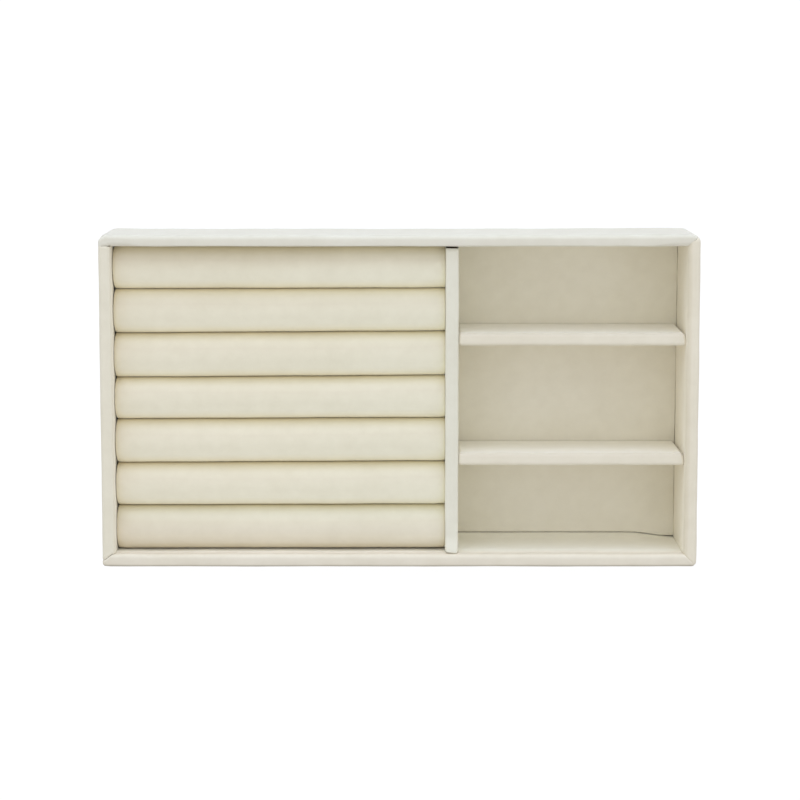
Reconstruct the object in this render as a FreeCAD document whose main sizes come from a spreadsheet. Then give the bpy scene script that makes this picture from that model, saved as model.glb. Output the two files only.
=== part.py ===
# Velvet-covered jewelry tray: seven ring rolls beside three open compartments.
# Frame: tray flat, opening up (+Z), length along X, back wall at +Y, origin under the middle of the base.

import FreeCAD, Part
import os
import Sketcher

doc = FreeCAD.newDocument("jewelry_tray")

# Driving dimensions in millimetres, and counts
sizes = {
    "tray_length": 239.4,             # outside, along X
    "tray_width": 133.8,              # outside, along Y
    "tray_height": 40.0,              # felt to rim
    "fabric": 0.5,                    # velvet thickness
    "wall_board": 3.7,                # board inside each wall
    "base_board": 2.2,                # board under everything
    "base_felt": 0.8,                 # felt on the underside
    "corner_radius": 2.4,             # outer corners in plan
    "rim_radius": 1.9,                # rounded edges of the covered rim
    "fold_radius": 1.1,               # where the velvet folds under the base
    "turn_under": 10.0,               # velvet glued to the underside, from the outer face
    "felt_clearance": 0.4,            # felt to the turned-under velvet
    "compartment_length": 91.3,       # long divider to right wall
    "back_compartment": 34.75,        # back wall to back cross divider
    "front_compartment": 35.5,        # front cross divider to front wall
    "long_divider": 5.0,              # covered thickness
    "long_divider_drop": 2.0,         # its top below the rim
    "cross_divider": 5.1,             # covered thickness
    "cross_divider_drop": 2.6,        # its top below the rim
    "divider_edge_radius": 1.2,       # rounded top edges of the covered dividers
    "long_divider_clearance": 0.6,    # long divider's ends to the back and front walls
    "cross_divider_clearance": 0.3,   # cross dividers' ends to the long divider and right wall
    "floor_card": 1.0,                # card under the compartment velvet
    "floor_clearance": 0.3,           # covered floor to the walls and long divider
    "ring_bed": 1.5,                  # card under the ring rolls
    "bed_clearance": 0.5,             # ring bed to the walls and long divider
    "roll_count": 7,                  # ring rolls side by side
    "roll_drop": 4.2,                 # roll crowns below the rim
    "roll_clearance": 0.1,            # between neighbouring rolls, and beside the outermost ones
    "roll_shoulder_spread": 0.85,     # centres of a roll's two shoulder arcs, from its middle
    "roll_crown_ease": 2.5,           # crown's radius past the shoulders' radius
    "roll_end_clearance": 0.2,        # roll ends to the left wall and long divider
    "roll_end_radius": 1.3,           # velvet drawn round the roll ends
}

sheet = doc.addObject("Spreadsheet::Sheet", "Sizes")
for row, (alias, size) in enumerate(sizes.items(), start=1):
    sheet.set(f"A{row}", alias)
    sheet.set(f"B{row}", str(size))
    sheet.setAlias(f"B{row}", alias)
doc.recompute()

# Lengths worked out from the driving dimensions, as expressions
LENGTH = "Sizes.tray_length"
WIDTH = "Sizes.tray_width"
RIM = "Sizes.tray_height"
FABRIC = "Sizes.fabric"
WALL = "(Sizes.wall_board + 2 * Sizes.fabric)"
INNER_RIGHT = f"({LENGTH} / 2 - {WALL})"
INNER_BACK = f"({WIDTH} / 2 - {WALL})"
BASE_BOTTOM = "Sizes.base_felt"
BASE_TOP = "(Sizes.base_felt + Sizes.base_board)"
DIVIDER_RIGHT = f"({INNER_RIGHT} - Sizes.compartment_length)"
DIVIDER_LEFT = f"({DIVIDER_RIGHT} - Sizes.long_divider)"
FLOOR_TOP = f"({BASE_TOP} + Sizes.floor_card + {FABRIC})"
BED_TOP = f"({BASE_TOP} + Sizes.ring_bed)"
ROLL_SPACE = f"(2 * {INNER_BACK} - Sizes.roll_clearance)"
ROLL_PITCH = f"({ROLL_SPACE} / Sizes.roll_count)"
ROLL_WIDTH = f"({ROLL_PITCH} - Sizes.roll_clearance)"
ROLL_LEFT = f"(-{INNER_RIGHT} + Sizes.roll_end_clearance)"
ROLL_RIGHT = f"({DIVIDER_LEFT} - Sizes.roll_end_clearance)"
ROLL_CROWN = f"({RIM} - Sizes.roll_drop)"
SHOULDER_SPREAD = "Sizes.roll_shoulder_spread"
CROWN_EASE = "Sizes.roll_crown_ease"
SHOULDER_RADIUS = f"({ROLL_WIDTH} / 2 - {SHOULDER_SPREAD})"
CROWN_RADIUS = f"({SHOULDER_RADIUS} + {CROWN_EASE})"
SHOULDER_RISE = f"({CROWN_EASE}^2 - {SHOULDER_SPREAD}^2)^0.5"
CROWN_CENTRE = f"({ROLL_CROWN} - {CROWN_RADIUS})"
SHOULDER_CENTRE = f"({CROWN_CENTRE} + {SHOULDER_RISE})"

QUARTER_TURN = 90.0
TOUCH = 1e-6


def number(expression):
    """The value of an expression of the sheet's sizes."""
    return float(sheet.evalExpression(expression))


def origin_plane(body, role):
    return next(item for item in body.Origin.OriginFeatures if item.Role == role)


def add_sketch(body, role, offset="0"):
    """An empty sketch on one of the body's origin planes, moved along its normal."""
    sketch = body.newObject("Sketcher::SketchObject", "Outline")
    sketch.AttachmentSupport = [(origin_plane(body, role), "")]
    sketch.MapMode = "FlatFace"
    sketch.setExpression("AttachmentOffset.Base.z", offset)
    return sketch


def fix_point(sketch, geometry, end, corner):
    """Ties an end of a sketch line or arc to the corner's two expressions."""
    for kind, expression in zip(("DistanceX", "DistanceY"), corner):
        constraint = Sketcher.Constraint(kind, -1, 1, geometry, end, number(expression))
        index = sketch.addConstraint(constraint)
        sketch.setExpression(f"Constraints[{index}]", expression)


def close_outline(sketch, corners):
    """Joins as many curves as there are corners end to end, and fixes where each one starts."""
    count = len(corners)
    for index, corner in enumerate(corners):
        sketch.addConstraint(Sketcher.Constraint("Coincident", index, 2, (index + 1) % count, 1))
        fix_point(sketch, index, 1, corner)


def corner_points(corners):
    return [FreeCAD.Vector(number(first), number(second), 0) for first, second in corners]


def draw_polygon(sketch, corners):
    points = corner_points(corners)
    for start, end in zip(points, points[1:] + points[:1]):
        sketch.addGeometry(Part.LineSegment(start, end))
    close_outline(sketch, corners)


def rectangle(left, front, right, back):
    return [(left, front), (right, front), (right, back), (left, back)]


def centred(length, width):
    return rectangle(f"-{length} / 2", f"-{width} / 2", f"{length} / 2", f"{width} / 2")


def pad_outline(body, corners, bottom, top):
    """A plan outline raised from one level to another."""
    sketch = add_sketch(body, "XY_Plane", bottom)
    draw_polygon(sketch, corners)
    pad = body.newObject("PartDesign::Pad", "Pad")
    pad.Profile = sketch
    pad.setExpression("Length", f"{top} - {bottom}")
    doc.recompute()
    return pad


def cut_outline(body, corners, bottom, top):
    """A plan outline cut down from the top level to the bottom level."""
    before = body.Shape.Volume
    sketch = add_sketch(body, "XY_Plane", top)
    draw_polygon(sketch, corners)
    pocket = body.newObject("PartDesign::Pocket", "Pocket")
    pocket.Profile = sketch
    pocket.setExpression("Length", f"{top} - {bottom}")
    doc.recompute()
    assert body.Shape.Volume < before, f"{body.Label}: the pocket cut nothing"
    return pocket


def round_edges(body, wanted, radius):
    """Rounds the edges of the body's last feature for which wanted(edge) is true."""
    feature = body.Tip
    names = [f"Edge{index}" for index, edge in enumerate(feature.Shape.Edges, start=1) if wanted(edge)]
    fillet = body.newObject("PartDesign::Fillet", "Fillet")
    fillet.Base = (feature, names)
    fillet.setExpression("Radius", radius)
    doc.recompute()
    return fillet


def is_upright(edge):
    box = edge.BoundBox
    return box.XLength < TOUCH and box.YLength < TOUCH


def lies_at(level):
    """Test for edges that lie flat at a level."""
    height = number(level)
    return lambda edge: abs(edge.BoundBox.ZMin - height) < TOUCH and abs(edge.BoundBox.ZMax - height) < TOUCH


def new_body(label):
    body = doc.addObject("PartDesign::Body", label)
    body.Label = label
    return body


def boolean(kind, label, base, tool):
    result = doc.addObject(f"Part::{kind}", label)
    result.Label = label
    result.Base = base
    result.Tool = tool
    doc.recompute()
    return result


subparts = []


def keep(subpart):
    """Lists a finished sub-part for writing."""
    subparts.append(subpart)
    return subpart


def make_slab(label, outline, bottom, top):
    """A flat sheet or board with square edges."""
    body = new_body(label)
    pad_outline(body, outline, bottom, top)
    return body


def make_frame(label, inset, thickness, bottom, top):
    """A rectangular wall frame with rounded corners and a rounded rim, inset from the tray's outside."""
    body = new_body(label)
    length = f"({LENGTH} - 2 * {inset})"
    width = f"({WIDTH} - 2 * {inset})"
    pad_outline(body, centred(length, width), bottom, top)
    round_edges(body, is_upright, f"Sizes.corner_radius - {inset}")
    cut_outline(body, centred(f"({length} - 2 * {thickness})", f"({width} - 2 * {thickness})"), bottom, top)
    round_edges(body, lies_at(top), f"Sizes.rim_radius - {inset}")
    return body


# Base: felt underneath, board above it with its lower edges eased
FELT_INSET = "(Sizes.turn_under + Sizes.felt_clearance)"
felt_outline = centred(f"({LENGTH} - 2 * {FELT_INSET})", f"({WIDTH} - 2 * {FELT_INSET})")
keep(make_slab("base_felt", felt_outline, "0", BASE_BOTTOM))

base_board = new_body("base_board")
base_outline = centred(f"({LENGTH} - 2 * {FABRIC})", f"({WIDTH} - 2 * {FABRIC})")
pad_outline(base_board, base_outline, BASE_BOTTOM, BASE_TOP)
round_edges(base_board, is_upright, f"Sizes.corner_radius - {FABRIC}")
round_edges(base_board, lies_at(BASE_BOTTOM), f"Sizes.fold_radius - {FABRIC}")
keep(base_board)

# Walls: a board frame, and a velvet skin round it that folds under the base, both cut at the mitres
UNDERSIDE = f"({BASE_BOTTOM} - {FABRIC})"
board_frame = make_frame("board_frame", FABRIC, "Sizes.wall_board", BASE_TOP, f"({RIM} - {FABRIC})")

velvet_frame = new_body("velvet_frame")
pad_outline(velvet_frame, centred(LENGTH, WIDTH), UNDERSIDE, RIM)
round_edges(velvet_frame, is_upright, "Sizes.corner_radius")
cut_outline(velvet_frame, centred(f"({LENGTH} - 2 * {WALL})", f"({WIDTH} - 2 * {WALL})"), BASE_BOTTOM, RIM)
round_edges(velvet_frame, lies_at(RIM), "Sizes.rim_radius")
TURNED_LENGTH = f"({LENGTH} - 2 * Sizes.turn_under)"
TURNED_WIDTH = f"({WIDTH} - 2 * Sizes.turn_under)"
cut_outline(velvet_frame, centred(TURNED_LENGTH, TURNED_WIDTH), UNDERSIDE, BASE_BOTTOM)
turned_reach = number(f"{TURNED_LENGTH} / 2")
turned_depth = number(f"{TURNED_WIDTH} / 2")
at_underside = lies_at(UNDERSIDE)


def is_outer_underside(edge):
    """Edges of the underside that run along the outer face, not along the turned-under velvet's own edge."""
    middle = edge.BoundBox.Center
    outside = abs(middle.x) > turned_reach + TOUCH or abs(middle.y) > turned_depth + TOUCH
    return at_underside(edge) and outside


round_edges(velvet_frame, is_outer_underside, "Sizes.fold_radius")
velvet_skin = boolean("Cut", "velvet_skin", velvet_frame, board_frame)
velvet_skin = boolean("Cut", "velvet_wall_skin", velvet_skin, base_board)


def make_mitre_wedge(label, length, reach, quarter_turns):
    """A block over one wall of the tray, with its ends on the corners' mitre planes."""
    body = new_body(label)
    past = FABRIC
    depth = f"(Sizes.turn_under + {WALL})"
    outline = [
        (f"-{length} / 2 - {past}", f"{reach} + {past}"),
        (f"-{length} / 2 + {depth}", f"{reach} - {depth}"),
        (f"{length} / 2 - {depth}", f"{reach} - {depth}"),
        (f"{length} / 2 + {past}", f"{reach} + {past}"),
    ]
    pad_outline(body, outline, "0", f"({RIM} + {past})")
    turn = FreeCAD.Rotation(FreeCAD.Vector(0, 0, 1), quarter_turns * QUARTER_TURN)
    body.Placement = FreeCAD.Placement(FreeCAD.Vector(0, 0, 0), turn)
    return body


walls = (
    ("back", LENGTH, f"{WIDTH} / 2"),
    ("left", WIDTH, f"{LENGTH} / 2"),
    ("front", LENGTH, f"{WIDTH} / 2"),
    ("right", WIDTH, f"{LENGTH} / 2"),
)
for quarter_turns, (side, length, reach) in enumerate(walls):
    wedge = make_mitre_wedge(f"{side}_mitre", length, reach, quarter_turns)
    keep(boolean("Common", f"{side}_wall_board", board_frame, wedge))
    keep(boolean("Common", f"{side}_wall_wrap", velvet_skin, wedge))


def shrunk(edges, margin):
    """Edges of a plan rectangle (left, front, right, back) moved inwards by a margin."""
    left, front, right, back = edges
    return f"({left} + {margin})", f"({front} + {margin})", f"({right} - {margin})", f"({back} - {margin})"


def make_rounded_slab(label, edges, bottom, top, runs_along_x, radius):
    """A board on edge whose two long top edges are rounded."""
    body = new_body(label)
    pad_outline(body, rectangle(*edges), bottom, top)
    at_top = lies_at(top)

    def is_long_top(edge):
        box = edge.BoundBox
        return at_top(edge) and (box.XLength > box.YLength) == runs_along_x

    round_edges(body, is_long_top, radius)
    return body


def make_divider(name, edges, bottom, top, runs_along_x):
    """A divider board and the velvet over its faces, top and ends."""
    radius = "Sizes.divider_edge_radius"
    board_edges = shrunk(edges, FABRIC)
    board_top = f"({top} - {FABRIC})"
    board_radius = f"{radius} - {FABRIC}"
    board = make_rounded_slab(f"{name}_board", board_edges, bottom, board_top, runs_along_x, board_radius)
    outside = make_rounded_slab(f"{name}_outside", edges, bottom, top, runs_along_x, radius)
    keep(board)
    keep(boolean("Cut", f"{name}_wrap", outside, board))


# Long divider, from the back wall to the front wall
LONG_END = f"({INNER_BACK} - Sizes.long_divider_clearance)"
long_edges = (DIVIDER_LEFT, f"-{LONG_END}", DIVIDER_RIGHT, LONG_END)
make_divider("long_divider", long_edges, BASE_TOP, f"({RIM} - Sizes.long_divider_drop)", False)

# Covered floor card of the compartments
floor_edges = shrunk((DIVIDER_RIGHT, f"-{INNER_BACK}", INNER_RIGHT, INNER_BACK), "Sizes.floor_clearance")
CARD_TOP = f"({BASE_TOP} + Sizes.floor_card)"
floor_card = make_slab("floor_card", rectangle(*shrunk(floor_edges, FABRIC)), BASE_TOP, CARD_TOP)
floor_outside = make_slab("floor_outside", rectangle(*floor_edges), BASE_TOP, FLOOR_TOP)
keep(floor_card)
keep(boolean("Cut", "floor_wrap", floor_outside, floor_card))

# Cross dividers, standing on the covered floor between the long divider and the right wall
CROSS_LEFT = f"({DIVIDER_RIGHT} + Sizes.cross_divider_clearance)"
CROSS_RIGHT = f"({INNER_RIGHT} - Sizes.cross_divider_clearance)"
CROSS_TOP = f"({RIM} - Sizes.cross_divider_drop)"
BACK_CROSS_BACK = f"({INNER_BACK} - Sizes.back_compartment)"
FRONT_CROSS_FRONT = f"(-{INNER_BACK} + Sizes.front_compartment)"
cross_dividers = (
    ("cross_divider_back", f"({BACK_CROSS_BACK} - Sizes.cross_divider)", BACK_CROSS_BACK),
    ("cross_divider_front", FRONT_CROSS_FRONT, f"({FRONT_CROSS_FRONT} + Sizes.cross_divider)"),
)
for name, front, back in cross_dividers:
    make_divider(name, (CROSS_LEFT, front, CROSS_RIGHT, back), FLOOR_TOP, CROSS_TOP, True)

# Card under the ring rolls
bed_edges = shrunk((f"-{INNER_RIGHT}", f"-{INNER_BACK}", DIVIDER_LEFT, INNER_BACK), "Sizes.bed_clearance")
keep(make_slab("ring_bed_card", rectangle(*bed_edges), BASE_TOP, BED_TOP))


def draw_roll_section(sketch, offset):
    """Upright sides, round shoulders and a softer crown between them, all drawn in by an offset."""
    side = f"({ROLL_WIDTH} / 2 - {offset})"
    shoulder_radius = f"({SHOULDER_RADIUS} - {offset})"
    crown_radius = f"({CROWN_RADIUS} - {offset})"
    turn_across = f"({crown_radius} * {SHOULDER_SPREAD} / {CROWN_EASE})"
    turn_height = f"({CROWN_CENTRE} + {crown_radius} * {SHOULDER_RISE} / {CROWN_EASE})"
    corners = [
        (f"-{side}", BED_TOP),
        (side, BED_TOP),
        (side, SHOULDER_CENTRE),
        (turn_across, turn_height),
        (f"-{turn_across}", turn_height),
        (f"-{side}", SHOULDER_CENTRE),
    ]
    lower_left, lower_right, right, right_turn, left_turn, left = corner_points(corners)
    crown = FreeCAD.Vector(0, number(f"{CROWN_CENTRE} + {crown_radius}"), 0)
    spread = number(SHOULDER_SPREAD)
    eighth = number(shoulder_radius) * FreeCAD.Vector(1, 1, 0).normalize()
    right_middle = FreeCAD.Vector(spread + eighth.x, right.y + eighth.y, 0)
    left_middle = FreeCAD.Vector(-right_middle.x, right_middle.y, 0)
    sketch.addGeometry(Part.LineSegment(lower_left, lower_right))
    sketch.addGeometry(Part.LineSegment(lower_right, right))
    sketch.addGeometry(Part.Arc(right, right_middle, right_turn))
    sketch.addGeometry(Part.Arc(right_turn, crown, left_turn))
    sketch.addGeometry(Part.Arc(left_turn, left_middle, left))
    sketch.addGeometry(Part.LineSegment(left, lower_left))
    close_outline(sketch, corners)
    for arc, radius in ((2, shoulder_radius), (3, crown_radius), (4, shoulder_radius)):
        index = sketch.addConstraint(Sketcher.Constraint("Radius", arc, number(radius)))
        sketch.setExpression(f"Constraints[{index}]", radius)


def make_roll_solid(label, margin, row):
    """One roll of the bed, smaller by a margin, with its ends drawn round in two steps."""
    body = new_body(label)
    left = f"({ROLL_LEFT} + {margin})"
    right = f"({ROLL_RIGHT} - {margin})"
    radius = f"(Sizes.roll_end_radius - {margin})"
    bend = f"({radius} * (1 - cos(45 deg)))"
    left_end = ((left, radius), (f"{left} + {bend}", bend), (f"{left} + {radius}", "0"))
    right_end = ((f"{right} - {radius}", "0"), (f"{right} - {bend}", bend), (right, radius))
    sections = []
    for along, inset in left_end + right_end:
        sketch = add_sketch(body, "YZ_Plane", along)
        draw_roll_section(sketch, f"({margin} + {inset})")
        sections.append(sketch)
    loft = body.newObject("PartDesign::AdditiveLoft", "Loft")
    loft.Profile = sections[0]
    loft.Sections = sections[1:]
    loft.Ruled = True
    body.setExpression("Placement.Base.y", f"{ROLL_SPACE} / 2 - ({row} - 1 / 2) * {ROLL_PITCH}")
    doc.recompute()
    return body


# Ring rolls, from the back to the front: a foam strip in a velvet cover
for row in range(1, int(number("Sizes.roll_count")) + 1):
    foam = make_roll_solid(f"ring_roll_foam_{row}", FABRIC, row)
    outside = make_roll_solid(f"ring_roll_outside_{row}", "0", row)
    keep(foam)
    keep(boolean("Cut", f"ring_roll_cover_{row}", outside, foam))

doc.recompute()
for item in doc.Objects:
    if "Invalid" in item.State or "Error" in item.State:
        raise RuntimeError(f"{item.Label} failed: {item.State}")
for subpart in subparts:
    if subpart.Shape.isNull() or not subpart.Shape.isValid():
        raise RuntimeError(f"{subpart.Label} has no valid shape")

os.makedirs("parts", exist_ok=True)
for subpart in subparts:
    subpart.Shape.exportStep(f"parts/{subpart.Label}.step")
    print(subpart.Label, len(subpart.Shape.Solids), "solid,", round(subpart.Shape.Volume, 1), "mm3")
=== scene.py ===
"""Looks of a velvet jewelry tray: seven padded ring rolls, a long divider and three compartments.

Lengths are in metres, in the frame of the CAD part: +X along the tray, +Y to the back, +Z up.
"""

import math
import random
from collections import namedtuple

import bpy
import numpy as np
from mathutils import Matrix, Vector


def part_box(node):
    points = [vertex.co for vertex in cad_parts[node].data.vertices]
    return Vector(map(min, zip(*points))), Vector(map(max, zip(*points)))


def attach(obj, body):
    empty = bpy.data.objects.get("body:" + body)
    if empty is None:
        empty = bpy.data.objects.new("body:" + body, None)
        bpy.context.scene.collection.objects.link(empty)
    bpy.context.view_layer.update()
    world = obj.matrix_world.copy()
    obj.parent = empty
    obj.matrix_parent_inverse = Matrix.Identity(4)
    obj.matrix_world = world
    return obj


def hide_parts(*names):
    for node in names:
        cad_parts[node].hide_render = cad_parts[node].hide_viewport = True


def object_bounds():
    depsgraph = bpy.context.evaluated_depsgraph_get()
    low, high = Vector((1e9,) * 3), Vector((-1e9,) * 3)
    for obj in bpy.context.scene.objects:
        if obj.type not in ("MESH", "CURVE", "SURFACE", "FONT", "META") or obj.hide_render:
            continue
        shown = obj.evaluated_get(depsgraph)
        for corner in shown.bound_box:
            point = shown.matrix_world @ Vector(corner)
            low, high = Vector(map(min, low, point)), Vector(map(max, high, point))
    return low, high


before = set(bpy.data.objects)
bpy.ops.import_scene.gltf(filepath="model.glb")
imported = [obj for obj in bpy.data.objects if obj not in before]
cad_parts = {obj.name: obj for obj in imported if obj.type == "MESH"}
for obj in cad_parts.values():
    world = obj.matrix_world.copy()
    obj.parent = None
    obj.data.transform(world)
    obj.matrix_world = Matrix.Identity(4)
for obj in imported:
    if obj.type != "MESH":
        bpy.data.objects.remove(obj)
cad_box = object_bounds()
scene = bpy.context.scene

MM = 0.001
TINY = 1e-9
ROLL_COUNT = 7
WHITE = (1, 1, 1)
BLACK = (0, 0, 0)

# Fabric and board
VELVET = 0.5 * MM
SKIN = 0.2 * MM
RIM_INNER_RADIUS = 1.8 * MM
RIM_OUTER_RADIUS = 1.4 * MM
FOLD_RADIUS = 1.1 * MM
TIGHT_RADIUS = 0.15 * MM
LONG_DIVIDER_RADIUS = 0.9 * MM
CROSS_DIVIDER_RADIUS = 1.3 * MM
PAD_RADIUS = 0.35 * MM
FELT_RADIUS = 0.25 * MM
TURN_UNDER = 10 * MM

# Mesh spacing
WALL_STEP = 2.2 * MM
DIVIDER_STEP = 1.6 * MM
PAD_STEP = 1.5 * MM
ROLL_STEP = 1.6 * MM
FELT_STEP = 4 * MM
ARC_STEPS = 7
UNDER_STEPS = 5
SEAM_STEPS = np.array([0, 0.06, 0.13, 0.22, 0.34, 0.5, 0.72, 1.0, 1.4, 1.9, 2.6]) * MM

# Waves of a random line: each one's share of the height and of the wavelength
WAVES = ((0.55, 1.0), (0.3, 0.47), (0.15, 0.21))
SHORTEST_WAVE = 0.85
LONGEST_WAVE = 1.15


def node_box(name):
    """Lowest and highest corner of a CAD node, as arrays."""
    low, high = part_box(name)
    return np.array(low), np.array(high)


# Sizes from the frame
tray_low, tray_high = (np.array(corner) for corner in cad_box)
half_length, half_depth = tray_high[0], tray_high[1]
rim_height = cad_box[1][2]
inner_right = node_box("right_wall_board")[0][0] - VELVET
wall_thickness = half_length - inner_right
divider_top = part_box("cross_divider_back_wrap")[1][2]
floor_low, floor_high = node_box("floor_wrap")
compartment_left = floor_low[0]
first_roll_low, first_roll_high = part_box("ring_roll_cover_1")
second_roll_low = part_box("ring_roll_cover_2")[0]
roll_left, roll_right = first_roll_low[0], first_roll_high[0]
roll_crown = first_roll_high[2]
roll_pitch = first_roll_low[1] - second_roll_low[1]


def wander(along, wavelength, seed):
    """A smooth, seeded, random line between about -1 and 1."""
    draw = random.Random(seed)
    total = np.zeros_like(np.asarray(along, dtype=float))
    for share, stretch in WAVES:
        phase = draw.uniform(0, math.tau)
        pace = math.tau / (wavelength * stretch * draw.uniform(SHORTEST_WAVE, LONGEST_WAVE))
        total = total + share * np.sin(along * pace + phase)
    return total


def ease(value, start, end):
    """Goes smoothly from 0 at start to 1 at end."""
    share = np.clip((np.asarray(value, dtype=float) - start) / (end - start), 0, 1)
    return share * share * (3 - 2 * share)


def bell(distance, width):
    """1 where the distance is none, falling away on both sides of it."""
    return np.exp(-((distance / width) ** 2))


def between(first, last, share):
    """Goes evenly from the first value to the last as the share goes from 0 to 1."""
    return first + (last - first) * share


def facing_out(points, faces):
    """The faces, turned over if they look towards the middle of the points."""
    centred = points - points.mean(axis=0)
    quads = centred[np.array([face for face in faces if len(face) == 4])]
    spans = np.cross(quads[:, 2] - quads[:, 0], quads[:, 3] - quads[:, 1])
    volume = np.sum(spans * quads.mean(axis=1))
    if volume > 0:
        return faces
    return [tuple(reversed(face)) for face in faces]


def make_piece(name, points, faces, material, replaced):
    """A smooth mesh that rides on the tray and stands for the named CAD nodes."""
    mesh = bpy.data.meshes.new(name)
    mesh.from_pydata([tuple(point) for point in points], [], facing_out(points, faces))
    mesh.update()
    mesh.shade_smooth()
    mesh.materials.append(material)
    piece = bpy.data.objects.new(name, mesh)
    scene.collection.objects.link(piece)
    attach(piece, "root")
    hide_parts(*replaced)
    return piece


def make_cloth_thick(piece):
    """Gives a fabric surface its thickness, on the side of the board."""
    thickness = piece.modifiers.new("fabric", "SOLIDIFY")
    thickness.thickness = SKIN
    thickness.offset = -1
    thickness.use_even_offset = True


# Materials

# Painted shade below the front rim: its tint, the depths where it starts and is full, and the normals it
# goes by
EDGE_SHADE = (0.72, 0.72, 0.72)
EDGE_LOW = 7 * MM
EDGE_HIGH = 1.5 * MM
FULLY_FRONT = -0.6
BARELY_FRONT = -0.3
# The darker parts of the velvet's clouds and strokes, and the tint of its sheen
CLOUD_TINT = (0.965, 0.96, 0.945)
STROKE_TINT = (0.95, 0.945, 0.935)
SHEEN_TINT = (1.0, 0.99, 0.95, 1)


def new_material(name):
    """A node material, its tree and its main shader."""
    material = bpy.data.materials.new(name)
    material.use_nodes = True
    return material, material.node_tree, material.node_tree.nodes["Principled BSDF"]


def add_noise(tree, scale, detail, roughness=0.5):
    """A noise texture in the tray's own coordinates."""
    place = tree.nodes.new("ShaderNodeTexCoord")
    noise = tree.nodes.new("ShaderNodeTexNoise")
    noise.inputs["Scale"].default_value = scale
    noise.inputs["Detail"].default_value = detail
    noise.inputs["Roughness"].default_value = roughness
    tree.links.new(place.outputs["Object"], noise.inputs["Vector"])
    return noise.outputs["Fac"]


def add_ramp(tree, value, low, high, dark, light):
    """A colour from dark to light as the value goes from low to high."""
    ramp = tree.nodes.new("ShaderNodeMapRange")
    ramp.inputs["From Min"].default_value = low
    ramp.inputs["From Max"].default_value = high
    mix = tree.nodes.new("ShaderNodeMix")
    mix.data_type = "RGBA"
    mix.inputs["A"].default_value = (*dark, 1)
    mix.inputs["B"].default_value = (*light, 1)
    tree.links.new(value, ramp.inputs["Value"])
    tree.links.new(ramp.outputs["Result"], mix.inputs["Factor"])
    return mix.outputs["Result"]


def add_bump(tree, height, strength, depth, under=None):
    """A normal with a bump of the given depth, on top of another normal if there is one under it."""
    bump = tree.nodes.new("ShaderNodeBump")
    bump.inputs["Strength"].default_value = strength
    bump.inputs["Distance"].default_value = depth
    tree.links.new(height, bump.inputs["Height"])
    if under is not None:
        tree.links.new(under, bump.inputs["Normal"])
    return bump.outputs["Normal"]


def add_product(tree, one, two):
    """One colour times another."""
    blend = tree.nodes.new("ShaderNodeMix")
    blend.data_type = "RGBA"
    blend.blend_type = "MULTIPLY"
    blend.inputs["Factor"].default_value = 1
    tree.links.new(one, blend.inputs["A"])
    tree.links.new(two, blend.inputs["B"])
    return blend.outputs["Result"]


def add_stops(tree, value, stops):
    """A colour that goes through the stops, each a value and the colour there, as the value rises."""
    lowest, highest = stops[0][0], stops[-1][0]
    share = tree.nodes.new("ShaderNodeMapRange")
    share.inputs["From Min"].default_value = lowest
    share.inputs["From Max"].default_value = highest
    ramp = tree.nodes.new("ShaderNodeValToRGB")
    elements = ramp.color_ramp.elements
    while len(elements) < len(stops):
        elements.new(1)
    for element, (place, colour) in zip(elements, stops):
        element.position = (place - lowest) / (highest - lowest)
        element.color = (*colour, 1)
    tree.links.new(value, share.inputs["Value"])
    tree.links.new(share.outputs["Result"], ramp.inputs["Fac"])
    return ramp.outputs["Color"]


def add_axis_tint(tree, source, axis, stops):
    """A tint that goes through the stops along an axis of the place or of the normal."""
    place = tree.nodes.new("ShaderNodeTexCoord")
    parts = tree.nodes.new("ShaderNodeSeparateXYZ")
    tree.links.new(place.outputs[source], parts.inputs["Vector"])
    return add_stops(tree, parts.outputs[axis], stops)


def add_edge_shade(tree, colour, height):
    """The colour with painted shade: darker on faces to the front, just below a height."""
    facing = add_axis_tint(tree, "Normal", "Y", ((FULLY_FRONT, WHITE), (BARELY_FRONT, BLACK)))
    band_stops = ((height - EDGE_LOW, BLACK), (height - EDGE_HIGH, WHITE))
    band = add_axis_tint(tree, "Object", "Z", band_stops)
    both = add_product(tree, facing, band)
    shade = add_ramp(tree, both, low=0, high=1, dark=WHITE, light=EDGE_SHADE)
    return add_product(tree, colour, shade)


def velvet(name, colour, tints=(), edge=None):
    """Short-pile velvet: matt, with a soft sheen, faint clouds in the nap and fine fibres.

    Each tint is the source, axis and stops of an axis tint: painted light and shade. Edge is the height of
    a rim whose front has painted shade just below it.
    """
    material, tree, shader = new_material(name)
    light = np.array(colour)
    clouds = add_noise(tree, scale=28, detail=3)
    strokes = add_noise(tree, scale=170, detail=4, roughness=0.6)
    fibres = add_noise(tree, scale=2600, detail=2, roughness=0.6)
    tone = add_ramp(tree, clouds, low=0.3, high=0.7, dark=light * CLOUD_TINT, light=light)
    mottle = add_ramp(tree, strokes, low=0.25, high=0.75, dark=STROKE_TINT, light=WHITE)
    pile_colour = add_product(tree, tone, mottle)
    for source, axis, stops in tints:
        pile_colour = add_product(tree, pile_colour, add_axis_tint(tree, source, axis, stops))
    if edge:
        pile_colour = add_edge_shade(tree, pile_colour, edge)
    tree.links.new(pile_colour, shader.inputs["Base Color"])
    nap = add_bump(tree, strokes, strength=0.35, depth=0.25 * MM)
    pile = add_bump(tree, fibres, strength=0.4, depth=0.08 * MM, under=nap)
    tree.links.new(pile, shader.inputs["Normal"])
    shader.inputs["Roughness"].default_value = 0.95
    shader.inputs["Specular IOR Level"].default_value = 0.12
    shader.inputs["Sheen Weight"].default_value = 0.6
    shader.inputs["Sheen Roughness"].default_value = 0.45
    shader.inputs["Sheen Tint"].default_value = SHEEN_TINT
    return material


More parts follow.
